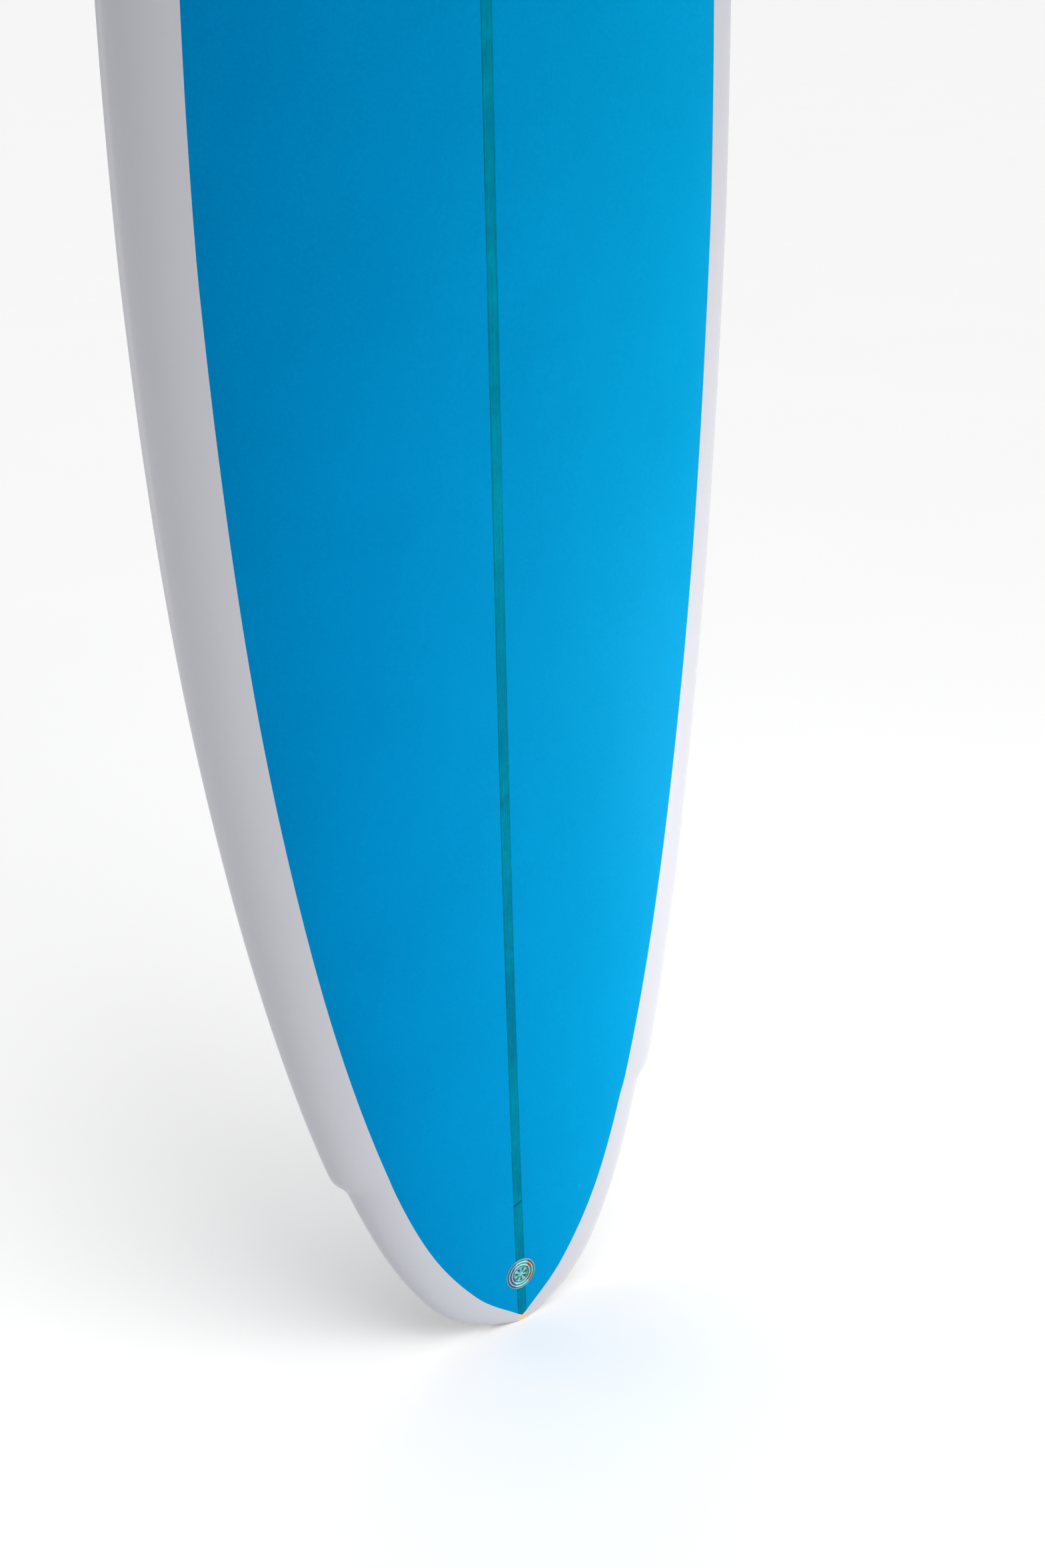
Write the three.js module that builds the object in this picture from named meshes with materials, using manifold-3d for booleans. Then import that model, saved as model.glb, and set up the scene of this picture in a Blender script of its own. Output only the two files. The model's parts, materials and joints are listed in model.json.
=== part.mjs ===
// Round-tail surfboard with wings, standing on its tail, with a 2+1 fin set.
// Millimetres. +Z runs up the board from tail to nose, the deck faces -Y and the fins point to +Y.
// The origin is the centre of the flat end of the stringer, which is what the board stands on.
import * as THREE from 'three';
import { mergeVertices } from 'three/addons/utils/BufferGeometryUtils.js';
import Module from 'manifold-3d';

const wasm = await Module();
wasm.setup();

// ---- Driving dimensions ------------------------------------------------------------------------
const LENGTH = 1930;
const WIDE_POINT = 960;
const TAIL_TRIM = 1; // the tail tip is sanded flat this far in, so the board can stand
const NOSE_TRIM = 0.5;

// [distance from the tail, half width] without the wings, and [distance from the nose, half width]
const TAIL_OUTLINE = [[0, 0], [2.5, 18.5], [10, 42], [25, 67], [75, 106], [150, 140], [300, 181.8],
  [500, 216.5], [700, 237.7], [960, 248.7]];
const NOSE_OUTLINE = [[0, 0], [30, 54], [90, 100], [180, 145], [305, 187], [450, 220],
  [630, 245.5], [780, 254.2], [970, 257.5]];
const WING = { station: 200, step: 8.8, softness: 6.4 };

// The tinted panel's cut line, measured from the panel's own two points
const PANEL_TAIL_INSET = 6.5;
const PANEL_NOSE_INSET = 14;
const TAIL_PANEL = [[0, 0], [8, 10.8], [40, 46.4], [110, 91.6], [230, 133.7], [430, 176.4],
  [700, 207.8], [953.5, 218.6]];
const NOSE_PANEL = [[0, 0], [10, 16], [60, 58], [160, 108], [290, 149], [440, 180],
  [620, 203], [770, 214], [956, 218.6]];

const TAIL_THICKNESS = 11.2;
const CENTRE_THICKNESS = 66.1;
const NOSE_THICKNESS = 12;
const THICK_POINT = 842;
const TAIL_TAPER = 1.814; // powers of the thickness towards each end
const NOSE_TAPER = 2.6;
const TAIL_ROCKER = 68.9;
const NOSE_ROCKER = 125;
const FLAT_POINT = 886;
const TAIL_LIFT = 2; // powers of the rocker towards each end
const NOSE_LIFT = 3.2;

const RAIL_APEX = 0.145; // height of the rail's widest line, as a part of the thickness
const DECK_ACROSS = 3.12; // superellipse exponents of the section above and below that line
const DECK_UP = 2.08;
const BOTTOM_CURVE = 3.74;

const LAMINATE = 0.8;
const GAP = 0.3;
const STRINGER_WIDTH = 9;
const STICKER = { station: 52.6, radius: 15.5, thickness: 0.25 };

const CENTRE_BOX = { station: 290, length: 280, width: 27, flange: 1.6, bodyLength: 272, bodyWidth: 20,
  depth: 20.6, sunk: 0.8 };
const SLOT = { length: 250, width: 9.6, depth: 14, wide: 13.6, pinTop: 4.6, pinBottom: 8.4, floor: 18.2,
  window: 14.4 };
const CENTRE_FIN = { base: 130, height: 178, thickness: 8.4, sweep: 95, rear: -75, seat: 0, cantDegrees: 0 };
const CENTRE_FIN_OFFSET = -10; // the fin stands this far behind the middle of its box
const FIN_TAB = { front: 75, ledge: 54, thickness: 8.6, depth: 13.2, ledgeDepth: 6.6 };
const PIN = { along: -66, depth: 6.5, radius: 1.5, length: 13 };
const SCREW = { along: 65, shankRadius: 2, headRadius: 3.9, headHeight: 2.6, end: 17.6, clearance: 0.4,
  grooveWidth: 1.2, grooveDepth: 1.1 };
const PLATE = { side: 12.8, thickness: 3, top: 14.4 };

const SIDE_FIN = { station: 355, across: 112, toeDegrees: 2.5, cantDegrees: 5, base: 105, height: 90,
  thickness: 6.2, sweep: 46, rear: -58, seat: 0.5 };
const PLUG = { spacing: 55, radius: 17, flange: 1.5, bodyRadius: 15, depth: 14, segments: 40 };
const PLUG_SLOT = { width: 6.8, depth: 12.2, length: 23 };
const FIN_SHAPE = { taper: 0.42, tipRound: 3, rake: 1.5, thinning: 0.72, foilMiddle: 0.82, foilLead: 0.3,
  flatFace: 0.15 };
const PLUG_TAB = { flat: 0.4, outer: 3, depth: 11.4, length: 21.2 };
const GRUB = { across: 8.6, tiltDegrees: 30, radius: 2.2, length: 5.6, sunk: 0.6, socketRadius: 1.15,
  socketDepth: 2, boreEnd: 7.6 };

const OVERLAP = 1; // how far joined or cutting solids run past each other
const FAR = 2 * LENGTH; // further than any point of the board

const COLOURS = {
  panel: 0x0094d5, laminate: 0xe9e7ec, wood: 0xb58d5c, foam: 0xf1efe6, foil: 0xa9cfc6,
  box: 0x24262a, fin: 0x0a5f96, brass: 0xb88a3e, steel: 0xb9bcc0, plug: 0xf4f4f2,
};

// ---- Curves of the board -----------------------------------------------------------------------
/** Smooth curve through [distance, value] points, worked in the square root of the distance. */
function rootCurve(points) {
  const x = points.map(([distance]) => Math.sqrt(distance));
  const y = points.map(([, value]) => value);
  const chord = (i) => (y[i + 1] - y[i]) / (x[i + 1] - x[i]);
  const last = x.length - 1;
  const slope = y.map((_, i) => {
    if (i === 0 || i === last) return 0;
    const before = x[i] - x[i - 1];
    const after = x[i + 1] - x[i];
    return (after * chord(i - 1) + before * chord(i)) / (before + after);
  });
  slope[0] = 2 * chord(0) - slope[1];
  slope[last] = 2 * chord(last - 1) - slope[last - 1];
  return (distance) => {
    const root = Math.sqrt(Math.max(distance, 0));
    let i = 0;
    while (i < last - 1 && root > x[i + 1]) i += 1;
    const h = x[i + 1] - x[i];
    const t = (root - x[i]) / h;
    const s = 1 - t;
    return s * s * (1 + 2 * t) * y[i] + t * t * (3 - 2 * t) * y[i + 1]
      + h * t * s * (s * slope[i] - t * slope[i + 1]);
  };
}

const tailOutline = rootCurve(TAIL_OUTLINE);
const noseOutline = rootCurve(NOSE_OUTLINE);
const tailPanel = rootCurve(TAIL_PANEL);
const nosePanel = rootCurve(NOSE_PANEL);

function halfWidth(station) {
  if (station > WIDE_POINT) return noseOutline(LENGTH - station);
  const wing = WING.step * 0.5 * (1 + Math.tanh((station - WING.station) / WING.softness));
  return tailOutline(station) + wing;
}

function panelHalfWidth(station) {
  if (station > WIDE_POINT) return nosePanel(LENGTH - PANEL_NOSE_INSET - station);
  return tailPanel(station - PANEL_TAIL_INSET);
}

function thickness(station) {
  if (station > THICK_POINT) {
    const along = (station - THICK_POINT) / (LENGTH - THICK_POINT);
    return CENTRE_THICKNESS - (CENTRE_THICKNESS - NOSE_THICKNESS) * along ** NOSE_TAPER;
  }
  return CENTRE_THICKNESS
    - (CENTRE_THICKNESS - TAIL_THICKNESS) * (1 - station / THICK_POINT) ** TAIL_TAPER;
}

function rocker(station) {
  if (station > FLAT_POINT) {
    return NOSE_ROCKER * ((station - FLAT_POINT) / (LENGTH - FLAT_POINT)) ** NOSE_LIFT;
  }
  return TAIL_ROCKER * ((FLAT_POINT - station) / FLAT_POINT) ** TAIL_LIFT;
}

const TAIL_END_MIDDLE = rocker(TAIL_TRIM) + thickness(TAIL_TRIM) / 2;
const bottomY = (station) => TAIL_END_MIDDLE - rocker(station);
const deckY = (station) => bottomY(station) - thickness(station);
const heightOf = (station) => station - TAIL_TRIM;
const slopeOf = (curve, station, step = 0.2) =>
  (curve(station + step) - curve(station - step)) / (2 * step);

// ---- Solids ------------------------------------------------------------------------------------
function toSolid(geometry) {
  const bare = geometry.clone();
  bare.deleteAttribute('normal');
  bare.deleteAttribute('uv');
  const merged = mergeVertices(bare, 1e-4);
  return new wasm.Manifold(new wasm.Mesh({
    numProp: 3,
    vertProperties: new Float32Array(merged.attributes.position.array),
    triVerts: new Uint32Array(merged.index.array),
  }));
}

function toGeometry(solid) {
  const mesh = solid.getMesh();
  const geometry = new THREE.BufferGeometry();
  geometry.setAttribute('position', new THREE.BufferAttribute(mesh.vertProperties, 3));
  geometry.setIndex(new THREE.BufferAttribute(mesh.triVerts, 1));
  geometry.computeVertexNormals();
  return geometry;
}

/** Closed solid through rings of points that run anticlockwise as seen from the last ring. */
function loft(rings) {
  const count = rings[0].length;
  const top = (rings.length - 1) * count;
  const index = [];
  for (let r = 0; r < rings.length - 1; r += 1) {
    for (let p = 0; p < count; p += 1) {
      const a = r * count + p;
      const b = r * count + ((p + 1) % count);
      index.push(a, b, b + count, a, b + count, a + count);
    }
  }
  for (let p = 1; p < count - 1; p += 1) {
    index.push(0, p + 1, p, top, top + p, top + p + 1);
  }
  const geometry = new THREE.BufferGeometry().setFromPoints(rings.flat());
  geometry.setIndex(index);
  return toSolid(geometry);
}

function block(x, y, z) {
  const geometry = new THREE.BoxGeometry(x[1] - x[0], y[1] - y[0], z[1] - z[0]);
  geometry.translate((x[0] + x[1]) / 2, (y[0] + y[1]) / 2, (z[0] + z[1]) / 2);
  return toSolid(geometry);
}

/** Round bar along Y between two heights. */
function bar(radius, y0, y1, x = 0, z = 0, segments = 24) {
  const geometry = new THREE.CylinderGeometry(radius, radius, y1 - y0, segments);
  geometry.translate(x, (y0 + y1) / 2, z);
  return toSolid(geometry);
}

/** Plate with round ends in the XZ plane, from y0 to y1. */
function stadium(length, width, y0, y1) {
  const radius = width / 2;
  const straight = length / 2 - radius;
  const outline = new THREE.Shape();
  outline.absarc(0, straight, radius, 0, Math.PI);
  outline.absarc(0, -straight, radius, Math.PI, 2 * Math.PI);
  const geometry = new THREE.ExtrudeGeometry(outline, {
    depth: y1 - y0, bevelEnabled: false, curveSegments: 10,
  });
  geometry.rotateX(Math.PI / 2);
  geometry.translate(0, y1, 0);
  return toSolid(geometry);
}

function mesh(name, geometry, color, roughness, metalness = 0) {
  const material = new THREE.MeshStandardMaterial({ color, roughness, metalness });
  const result = new THREE.Mesh(geometry, material);
  result.name = name;
  return result;
}

// ---- The blank and its skins -------------------------------------------------------------------
const RING_POINTS = 28;
const NOSE_STEPS = [NOSE_TRIM, 2, 4, 8, 18, 36, 66, 110, 170, 250, 350, 470, 610, 770];
const TAIL_STEPS = [TAIL_TRIM, 2, 4, 8, 16, 30, 52, 84, 124, 165, 190, 197, 203, 210, 240, 310, 400,
  510, 640, 780, 920, 1050];

// The panel is blunted this much at its points, and cut at these distances from them and in its middle
const PANEL_POINT = 0.4;
const PANEL_STEPS = [0, 1.5, 4, 8, 14, 22, 34, 50, 72, 105, 150, 210, 290, 400, 520];
const PANEL_MIDDLE = [700, 860, 1010, 1160, 1300];
const CORE_NOSE_TRIM = 4;
const SKIN_NOSE_TRIM = 2;

/** Section of the board at a station, drawn in by an inset from the outer surface. */
function sectionRing(station, inset) {
  const edgeSlope = slopeOf(halfWidth, station);
  const width = halfWidth(station) - inset * Math.hypot(1, edgeSlope);
  const depth = thickness(station);
  const apex = RAIL_APEX * depth;
  return Array.from({ length: RING_POINTS }, (_, p) => {
    const angle = (2 * Math.PI * p) / RING_POINTS;
    const across = Math.sin(angle);
    const up = Math.cos(angle);
    const acrossPower = up >= 0 ? 2 / DECK_ACROSS : 2 / BOTTOM_CURVE;
    const upPower = up >= 0 ? 2 / DECK_UP : 2 / BOTTOM_CURVE;
    const reach = up >= 0 ? depth - apex - inset : apex - inset;
    const x = width * Math.sign(across) * Math.abs(across) ** acrossPower;
    const rise = apex + reach * Math.sign(up) * Math.abs(up) ** upPower;
    return new THREE.Vector3(x, bottomY(station) - rise, heightOf(station));
  });
}

function boardSolid(inset, noseEnd) {
  const nose = NOSE_STEPS.filter((step) => step >= noseEnd).map((step) => LENGTH - step);
  const stations = [...TAIL_STEPS, ...nose.reverse()];
  return loft(stations.map((station) => sectionRing(station, inset)));
}

/** Everything on the deck side of the board's middle and within the cut line. */
function panelCutter(grow) {
  const first = PANEL_TAIL_INSET + PANEL_POINT;
  const last = LENGTH - PANEL_NOSE_INSET - PANEL_POINT;
  const stations = [...PANEL_STEPS.map((step) => first + step), ...PANEL_MIDDLE,
    ...PANEL_STEPS.slice(0, -1).reverse().map((step) => last - step)];
  return loft(stations.map((station) => {
    const half = panelHalfWidth(station) + grow * Math.hypot(1, slopeOf(panelHalfWidth, station));
    const inner = bottomY(station) - thickness(station) / 2;
    const outer = deckY(station) - CENTRE_THICKNESS;
    return [[half, outer], [half, inner], [-half, inner], [-half, outer]]
      .map(([x, y]) => new THREE.Vector3(x, y, heightOf(station)));
  }));
}

// ---- Fins and their fittings -------------------------------------------------------------------
const FIN_LEVELS = [0, 0.12, 0.26, 0.4, 0.54, 0.67, 0.79, 0.88, 0.94, 0.975, 0.994];
const FIN_POINTS = 18;

/** Swept fin with a foiled section. side 0 has foil on both faces, side 1 or -1 on that face. */
function finBlade({ base, height, thickness: thick, sweep, rear, seat, cantDegrees }, side) {
  const { taper, tipRound, rake, thinning, foilMiddle, foilLead, flatFace } = FIN_SHAPE;
  const cant = Math.tan(THREE.MathUtils.degToRad(cantDegrees));
  return loft(FIN_LEVELS.map((level) => {
    const half = (base / 2) * (1 - taper * level) * Math.sqrt(1 - level ** tipRound);
    const middle = rear + base / 2 - sweep * level ** rake;
    const swell = (thick / 2) * (1 - thinning * level);
    const y = seat + level * (height - seat);
    return Array.from({ length: FIN_POINTS }, (_, p) => {
      const angle = (2 * Math.PI * p) / FIN_POINTS;
      const foil = swell * Math.sin(angle) * (foilMiddle + foilLead * Math.cos(angle));
      const flat = side !== 0 && Math.sign(foil) === -side;
      const x = (flat ? foil * flatFace : foil) + side * cant * y;
      return new THREE.Vector3(x, y, middle + half * Math.cos(angle));
    });
  }));
}

function centreFin() {
  const { front, ledge, thickness: thick, depth, ledgeDepth } = FIN_TAB;
  const half = thick / 2;
  const tab = block([-half, half], [-depth, GAP], [CENTRE_FIN.rear, ledge])
    .add(block([-half, half], [-depth, -ledgeDepth], [ledge - OVERLAP, front]));
  const pinHole = new THREE.CylinderGeometry(PIN.radius + GAP, PIN.radius + GAP, 2 * thick, 20);
  pinHole.rotateZ(Math.PI / 2);
  pinHole.translate(0, -PIN.depth, PIN.along);
  return tab.add(finBlade(CENTRE_FIN, 0))
    .subtract(toSolid(pinHole))
    .subtract(bar(SCREW.shankRadius + SCREW.clearance, -depth - OVERLAP, OVERLAP, 0, SCREW.along));
}

function centreBoxSlot() {
  const narrow = SLOT.width / 2;
  const wide = SLOT.wide / 2;
  const steps = [[narrow, OVERLAP], [narrow, -SLOT.pinTop], [wide, -SLOT.pinTop], [wide, -SLOT.pinBottom],
    [narrow, -SLOT.pinBottom], [narrow, -SLOT.depth], [wide, -SLOT.depth], [wide, -SLOT.floor]];
  const outline = [...steps, ...steps.map(([x, y]) => [-x, y]).reverse()];
  const shape = new THREE.Shape(outline.map(([x, y]) => new THREE.Vector2(x, y)));
  const geometry = new THREE.ExtrudeGeometry(shape, { depth: SLOT.length, bevelEnabled: false });
  geometry.translate(0, 0, -SLOT.length / 2);
  const window = block([-wide, wide], [-SLOT.floor + OVERLAP, OVERLAP],
    [-SLOT.window / 2, SLOT.window / 2]);
  return toSolid(geometry).add(window);
}

const POCKET_REACH = 20; // how far a pocket cuts above the face of what sits in it

/** The centre box without its slot or, with a clearance, the pocket for it. */
function centreBoxBody(clearance) {
  const { length, width, flange, bodyLength, bodyWidth, depth } = CENTRE_BOX;
  const face = clearance > 0 ? POCKET_REACH : 0;
  const grown = 2 * clearance;
  return stadium(length + grown, width + grown, -flange - clearance, face)
    .add(stadium(bodyLength + grown, bodyWidth + grown, -depth - clearance, -flange / 2));
}

function centreScrew() {
  const { along, shankRadius, headRadius, headHeight, end, grooveWidth, grooveDepth } = SCREW;
  const seat = -FIN_TAB.ledgeDepth + GAP;
  const top = seat + headHeight;
  const groove = block([-grooveWidth / 2, grooveWidth / 2], [top - grooveDepth, top + OVERLAP],
    [along - headRadius - OVERLAP, along + headRadius + OVERLAP]);
  return bar(headRadius, seat, top, 0, along)
    .add(bar(shankRadius, -end, seat + OVERLAP, 0, along))
    .subtract(groove);
}

/** A plug without its slot or, with a clearance, the pocket for it. */
function plugBody(clearance) {
  const { radius, flange, bodyRadius, depth, segments } = PLUG;
  const face = clearance > 0 ? POCKET_REACH : 0;
  return bar(radius + clearance, -flange - clearance, face, 0, 0, segments)
    .add(bar(bodyRadius + clearance, -depth - clearance, -flange / 2, 0, 0, segments));
}

/** Bar along the grub screw's slanting line, from one distance along it to another. */
function grubBar(radius, from, to, side, segments = 20) {
  const geometry = new THREE.CylinderGeometry(radius, radius, to - from, segments);
  geometry.translate(0, -(from + to) / 2, 0);
  geometry.rotateZ(-side * THREE.MathUtils.degToRad(GRUB.tiltDegrees));
  geometry.translate(side * GRUB.across, 0, 0);
  return toSolid(geometry);
}

function plug(side) {
  const slot = block([-PLUG_SLOT.width / 2, PLUG_SLOT.width / 2], [-PLUG_SLOT.depth, OVERLAP],
    [-PLUG_SLOT.length / 2, PLUG_SLOT.length / 2]);
  const bore = grubBar(GRUB.radius + GAP, -2 * GRUB.radius, GRUB.boreEnd, side);
  return plugBody(0).subtract(slot).subtract(bore);
}

function grubScrew(side) {
  const body = grubBar(GRUB.radius, GRUB.sunk, GRUB.sunk + GRUB.length, side);
  const socket = grubBar(GRUB.socketRadius, GRUB.sunk - OVERLAP, GRUB.sunk + GRUB.socketDepth, side, 6);
  return body.subtract(socket);
}

/** Side fin with two tabs, each flush with its flat face and running out to the foiled one. */
function sideFin(side) {
  const { length, depth, flat, outer } = PLUG_TAB;
  const across = [-side * flat, side * outer].sort((a, b) => a - b);
  const tabs = [-PLUG.spacing / 2, PLUG.spacing / 2].map((along) => block(across,
    [-depth, SIDE_FIN.seat + GAP], [along - length / 2, along + length / 2]));
  return finBlade(SIDE_FIN, side).add(tabs[0]).add(tabs[1]);
}

/** Group whose XZ plane lies on the bottom at a place, with +Z towards the nose. */
function bottomFrame(station, across, toeDegrees, sunk) {
  const frame = new THREE.Group();
  frame.rotation.order = 'XYZ';
  frame.rotation.x = -Math.atan(slopeOf(bottomY, station));
  frame.rotation.y = -Math.sign(across) * THREE.MathUtils.degToRad(toeDegrees);
  frame.position.set(across, bottomY(station) - sunk, heightOf(station));
  frame.updateMatrixWorld(true);
  return frame;
}

const placed = (solid, frame) => toSolid(toGeometry(solid).applyMatrix4(frame.matrixWorld));

// ---- Assembly ----------------------------------------------------------------------------------
const board = new THREE.Group();

const centreBoxFrame = bottomFrame(CENTRE_BOX.station, 0, 0, CENTRE_BOX.sunk);
const sides = [{ name: 'left', sign: -1 }, { name: 'right', sign: 1 }].map((side) => ({
  ...side,
  frame: bottomFrame(SIDE_FIN.station, side.sign * SIDE_FIN.across, SIDE_FIN.toeDegrees, 0),
}));
const plugPlaces = [{ name: 'rear', along: -PLUG.spacing / 2 },
  { name: 'front', along: PLUG.spacing / 2 }];

const plugPockets = sides.flatMap((side) => plugPlaces.map((place) =>
  placed(plugBody(GAP).translate([0, 0, place.along]), side.frame)));
const pockets = plugPockets.reduce((all, pocket) => all.add(pocket),
  placed(centreBoxBody(GAP), centreBoxFrame));

const skin = boardSolid(0, NOSE_TRIM)
  .subtract(boardSolid(LAMINATE, SKIN_NOSE_TRIM))
  .subtract(block([-FAR, FAR], [-FAR, FAR], [-FAR, GAP]));
const blank = boardSolid(LAMINATE + GAP, CORE_NOSE_TRIM).subtract(pockets);
const halfStringer = STRINGER_WIDTH / 2;
const cutAcross = (x0, x1) => toGeometry(blank.intersect(block([x0, x1], [-FAR, FAR], [-FAR, FAR])));

board.add(
  mesh('stringer', cutAcross(-halfStringer, halfStringer), COLOURS.wood, 0.7),
  mesh('foam_core_left', cutAcross(-FAR, -halfStringer - GAP), COLOURS.foam, 0.95),
  mesh('foam_core_right', cutAcross(halfStringer + GAP, FAR), COLOURS.foam, 0.95),
  mesh('deck_panel_laminate', toGeometry(skin.intersect(panelCutter(-GAP / 2))),
    COLOURS.panel, 0.18),
  mesh('rail_and_bottom_laminate', toGeometry(skin.subtract(panelCutter(GAP / 2))
    .subtract(pockets)), COLOURS.laminate, 0.25),
);

const sticker = mesh('foil_sticker', new THREE.CylinderGeometry(STICKER.radius, STICKER.radius,
  STICKER.thickness, 48), COLOURS.foil, 0.3, 0.6);
sticker.rotation.x = -Math.atan(slopeOf(deckY, STICKER.station));
sticker.position.set(0, deckY(STICKER.station) - GAP - STICKER.thickness / 2,
  heightOf(STICKER.station));
board.add(sticker);

const centreFinGroup = new THREE.Group();
centreFinGroup.position.z = CENTRE_FIN_OFFSET;
const pin = mesh('centre_fin_pin', new THREE.CylinderGeometry(PIN.radius, PIN.radius, PIN.length, 20),
  COLOURS.brass, 0.3, 1);
pin.rotation.z = Math.PI / 2;
pin.position.set(0, -PIN.depth, PIN.along);
const plateHole = bar(SCREW.shankRadius + GAP, -PLATE.top - PLATE.thickness - OVERLAP, 0);
const plate = mesh('centre_fin_plate', toGeometry(block([-PLATE.side / 2, PLATE.side / 2],
  [-PLATE.top - PLATE.thickness, -PLATE.top], [-PLATE.side / 2, PLATE.side / 2])
  .subtract(plateHole)), COLOURS.brass, 0.35, 1);
plate.position.z = SCREW.along;
centreFinGroup.add(
  mesh('centre_fin', toGeometry(centreFin()), COLOURS.fin, 0.25),
  pin,
  plate,
  mesh('centre_fin_screw', toGeometry(centreScrew()), COLOURS.steel, 0.3, 1),
);
centreBoxFrame.add(
  mesh('centre_fin_box', toGeometry(centreBoxBody(0).subtract(centreBoxSlot())), COLOURS.box, 0.5),
  centreFinGroup,
);
board.add(centreBoxFrame);

for (const side of sides) {
  side.frame.add(mesh(`${side.name}_side_fin`, toGeometry(sideFin(side.sign)), COLOURS.fin, 0.25));
  for (const place of plugPlaces) {
    const holder = new THREE.Group();
    holder.position.z = place.along;
    holder.add(
      mesh(`${side.name}_${place.name}_fin_plug`, toGeometry(plug(side.sign)), COLOURS.plug, 0.4),
      mesh(`${side.name}_${place.name}_grub_screw`, toGeometry(grubScrew(side.sign)),
        COLOURS.steel, 0.35, 1),
    );
    side.frame.add(holder);
  }
  board.add(side.frame);
}

export default board;
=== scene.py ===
"""Winged round-tail surfboard standing on its tail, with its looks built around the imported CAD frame."""
import json
import math

import bmesh
import bpy
import numpy as np
from mathutils import Matrix, Vector


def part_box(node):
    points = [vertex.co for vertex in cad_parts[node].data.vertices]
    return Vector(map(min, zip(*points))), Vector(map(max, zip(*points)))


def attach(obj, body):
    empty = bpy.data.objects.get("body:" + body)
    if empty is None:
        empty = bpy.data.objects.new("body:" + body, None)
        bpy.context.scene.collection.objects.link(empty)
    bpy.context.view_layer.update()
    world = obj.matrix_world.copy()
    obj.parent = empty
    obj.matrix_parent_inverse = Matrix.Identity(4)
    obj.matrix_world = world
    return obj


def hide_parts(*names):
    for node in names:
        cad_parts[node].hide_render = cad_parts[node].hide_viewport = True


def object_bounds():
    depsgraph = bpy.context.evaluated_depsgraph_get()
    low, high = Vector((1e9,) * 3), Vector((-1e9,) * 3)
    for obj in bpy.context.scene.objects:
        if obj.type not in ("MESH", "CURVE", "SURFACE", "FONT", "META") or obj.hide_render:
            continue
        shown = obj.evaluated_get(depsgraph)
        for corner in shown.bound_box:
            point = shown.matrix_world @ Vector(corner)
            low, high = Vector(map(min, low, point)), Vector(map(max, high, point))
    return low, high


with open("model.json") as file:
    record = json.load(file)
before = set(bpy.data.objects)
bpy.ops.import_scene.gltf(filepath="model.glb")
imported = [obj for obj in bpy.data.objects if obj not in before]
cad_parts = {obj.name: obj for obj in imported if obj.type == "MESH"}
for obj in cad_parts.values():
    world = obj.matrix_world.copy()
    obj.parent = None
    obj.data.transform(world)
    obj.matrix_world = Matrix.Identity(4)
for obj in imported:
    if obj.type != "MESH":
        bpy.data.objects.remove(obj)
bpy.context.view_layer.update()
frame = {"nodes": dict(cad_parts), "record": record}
MM = 0.001

# ---- Shape of the board, in millimetres, as the CAD frame has it ---------------------------------
LENGTH = 1930.0
WIDE_POINT = 960.0
TAIL_TRIM = 1.0
TAIL_OUTLINE = ((0, 0), (2.5, 18.5), (10, 42), (25, 67), (75, 106), (150, 140), (300, 181.8), (500, 216.5),
                (700, 237.7), (960, 248.7))
NOSE_OUTLINE = ((0, 0), (30, 54), (90, 100), (180, 145), (305, 187), (450, 220), (630, 245.5), (780, 254.2),
                (970, 257.5))
WING_STATION, WING_STEP, WING_SOFTNESS = 200.0, 8.8, 6.4
PANEL_TAIL_INSET, PANEL_NOSE_INSET = 6.5, 14.0
TAIL_PANEL = ((0, 0), (8, 10.8), (40, 46.4), (110, 91.6), (230, 133.7), (430, 176.4), (700, 207.8),
              (953.5, 218.6))
NOSE_PANEL = ((0, 0), (10, 16), (60, 58), (160, 108), (290, 149), (440, 180), (620, 203), (770, 214),
              (956, 218.6))
TAIL_THICKNESS, CENTRE_THICKNESS, NOSE_THICKNESS, THICK_POINT = 11.2, 66.1, 12.0, 842.0
TAIL_ROCKER, NOSE_ROCKER, FLAT_POINT = 68.9, 125.0, 886.0
RAIL_APEX, DECK_ACROSS, DECK_UP, BOTTOM_CURVE = 0.145, 3.12, 2.08, 3.74
LAMINATE = 0.8
SHARP_ANGLE = math.radians(32)
STICKER_STATION, STICKER_RADIUS = 52.6, 15.5

CENTRE_BOX_STATION, CENTRE_BOX_LENGTH, CENTRE_BOX_WIDTH, CENTRE_BOX_SUNK = 290.0, 280.0, 27.0, 0.8
SIDE_STATION, SIDE_ACROSS, SIDE_TOE, PLUG_SPACING, PLUG_RADIUS = 355.0, 112.0, 2.5, 55.0, 17.0


def root_curve(points):
    """Smooth curve through (distance, value) points, worked in the square root of the distance."""
    x = np.sqrt([p[0] for p in points])
    y = np.array([p[1] for p in points], float)
    gap = np.diff(x)
    chord = np.diff(y) / gap
    slope = np.zeros(len(x))
    slope[1:-1] = (gap[1:] * chord[:-1] + gap[:-1] * chord[1:]) / (gap[1:] + gap[:-1])
    slope[0] = 2 * chord[0] - slope[1]
    slope[-1] = 2 * chord[-1] - slope[-2]

    def curve(distance):
        root = np.sqrt(np.maximum(distance, 0.0))
        i = np.clip(np.searchsorted(x, root) - 1, 0, len(gap) - 1)
        t = (root - x[i]) / gap[i]
        s = 1 - t
        bend = gap[i] * t * s * (s * slope[i] - t * slope[i + 1])
        return s * s * (1 + 2 * t) * y[i] + t * t * (3 - 2 * t) * y[i + 1] + bend

    return curve


tail_outline, nose_outline = root_curve(TAIL_OUTLINE), root_curve(NOSE_OUTLINE)
tail_panel, nose_panel = root_curve(TAIL_PANEL), root_curve(NOSE_PANEL)


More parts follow.
